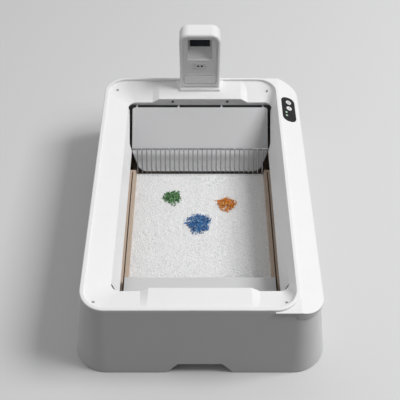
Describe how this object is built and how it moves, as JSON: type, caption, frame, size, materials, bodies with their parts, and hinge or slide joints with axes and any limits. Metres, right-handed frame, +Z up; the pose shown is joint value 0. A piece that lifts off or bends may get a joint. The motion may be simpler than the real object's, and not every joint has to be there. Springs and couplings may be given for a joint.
{
  "type": "self-cleaning litter box",
  "caption": "Open-topped litter box with a belt-driven wire rake, a sprung waste flap, a disposable cardboard tray of crystal litter, a control panel and a sensor tower.",
  "frame": {"origin": "on the floor under the centre of the housing's bounding box", "axes": "+X to the right seen from the front, +Y from the front towards the sensor tower, +Z up"},
  "size_m": [0.5026, 0.7166, 0.336],
  "materials": {
    "shell_white": "satin",
    "cover_white": "satin",
    "tower_white": "satin",
    "face_grey": "matte",
    "plate_grey": "matte",
    "window_smoke": "gloss",
    "eye_grey": "satin",
    "lens_black": "gloss",
    "lamp_clear": "gloss",
    "lamp_green": "gloss",
    "panel_black": "gloss",
    "button_white": "gloss",
    "flap_grey": "satin",
    "flange_grey": "matte",
    "shelf_grey": "matte",
    "inner_grey": "matte",
    "wire_steel": "satin",
    "rail_steel": "polished",
    "screw_steel": "satin",
    "spring_steel": "satin",
    "acetal_white": "satin",
    "pulley_black": "satin",
    "belt_rubber": "matte",
    "foot_rubber": "matte",
    "bush_bronze": "satin",
    "motor_steel": "satin",
    "board_green": "satin",
    "inlet_black": "gloss",
    "cardboard_tan": "matte",
    "litter_white": "matte",
    "crystal_green": "satin",
    "crystal_blue": "satin",
    "crystal_orange": "satin"
  },
  "bodies": {
    "tray": {"tray": "cardboard_tan", "litter_bed": "litter_white", "green_crystals": "crystal_green", "blue_crystals": "crystal_blue", "orange_crystals": "crystal_orange"},
    "housing": {"base_shell": "shell_white", "rubber_feet": "foot_rubber", "power_inlet": "inlet_black", "top_cover": "cover_white", "cover_screws": "screw_steel", "rear_flange": "flange_grey", "flange_screws": "screw_steel", "hinge_pin": "rail_steel", "flap_springs": "spring_steel", "rear_bulkhead": "inner_grey", "front_bulkhead": "inner_grey", "guide_rail_left": "rail_steel", "guide_rail_right": "rail_steel", "dust_guard_left": "inner_grey", "dust_guard_right": "inner_grey", "position_sensors": "board_green", "belt_left": "belt_rubber", "belt_right": "belt_rubber", "shaft_bearings": "inner_grey", "shaft_bushes": "bush_bronze", "idler_brackets": "inner_grey", "idler_axles": "rail_steel", "motor_bracket": "motor_steel", "drive_motor": "motor_steel", "front_shelf": "shelf_grey", "control_panel": "panel_black", "indicator_lamps": "lamp_green", "control_board": "board_green", "tower_shell": "tower_white", "tower_face": "face_grey", "sensor_window": "window_smoke", "presence_eye": "eye_grey", "eye_lenses": "lens_black", "tower_lamp": "lamp_clear", "tower_board": "board_green", "tower_foot_plate": "plate_grey"},
    "rake": {"rake_rod": "wire_steel", "rake_tines": "wire_steel", "carriage_left": "acetal_white", "carriage_right": "acetal_white"},
    "flap": {"trap_flap": "flap_grey"},
    "drive": {"cross_shaft": "rail_steel", "shaft_gear": "acetal_white", "drive_pulley_left": "pulley_black", "drive_pulley_right": "pulley_black"},
    "idler_left": {"idler_pulley_left": "pulley_black"},
    "idler_right": {"idler_pulley_right": "pulley_black"},
    "pinion": {"motor_pinion": "acetal_white"},
    "rear_button": {"button_rear": "button_white"},
    "front_button": {"button_front": "button_white"}
  },
  "joints": [
    {"name": "housing_lift", "type": "slide", "parent": "tray", "child": "housing", "axis": [0, 0, 1], "range_m": [0, 0.2]},
    {"name": "rake_sweep", "type": "slide", "parent": "housing", "child": "rake", "axis": [0, -1, 0], "range_m": [0, 0.313]},
    {"name": "flap_swing", "type": "hinge", "parent": "housing", "child": "flap", "pos_m": [0, 0.2674, 0.1431], "axis": [1, 0, 0], "range_deg": [0, 22], "stiffness_Nm_per_rad": 0.45, "springref_deg": -22.92},
    {"name": "shaft_spin", "type": "hinge", "parent": "housing", "child": "drive", "pos_m": [0, 0.312, 0.112], "axis": [1, 0, 0], "range_deg": [0, 1880]},
    {"name": "idler_left_spin", "type": "hinge", "parent": "housing", "child": "idler_left", "pos_m": [-0.198, -0.1805, 0.112], "axis": [1, 0, 0], "range_deg": [0, 1880]},
    {"name": "idler_right_spin", "type": "hinge", "parent": "housing", "child": "idler_right", "pos_m": [0.198, -0.1805, 0.112], "axis": [1, 0, 0], "range_deg": [0, 1880]},
    {"name": "pinion_spin", "type": "hinge", "parent": "housing", "child": "pinion", "pos_m": [0.138, 0.318, 0.08235], "axis": [1, 0, 0], "range_deg": [-5170, 0]},
    {"name": "rear_button_press", "type": "slide", "parent": "housing", "child": "rear_button", "axis": [-0.3461, 0, -0.9382], "range_m": [0, 0.0012], "stiffness_N_per_m": 400, "springref_m": -0.001},
    {"name": "front_button_press", "type": "slide", "parent": "housing", "child": "front_button", "axis": [-0.3461, 0, -0.9382], "range_m": [0, 0.0012], "stiffness_N_per_m": 400, "springref_m": -0.001}
  ],
  "couplings": [
    {"joint": "shaft_spin", "follows": "rake_sweep", "rad_per_m": 104.72},
    {"joint": "idler_left_spin", "follows": "rake_sweep", "rad_per_m": 104.72},
    {"joint": "idler_right_spin", "follows": "rake_sweep", "rad_per_m": 104.72},
    {"joint": "pinion_spin", "follows": "rake_sweep", "rad_per_m": -287.98}
  ]
}
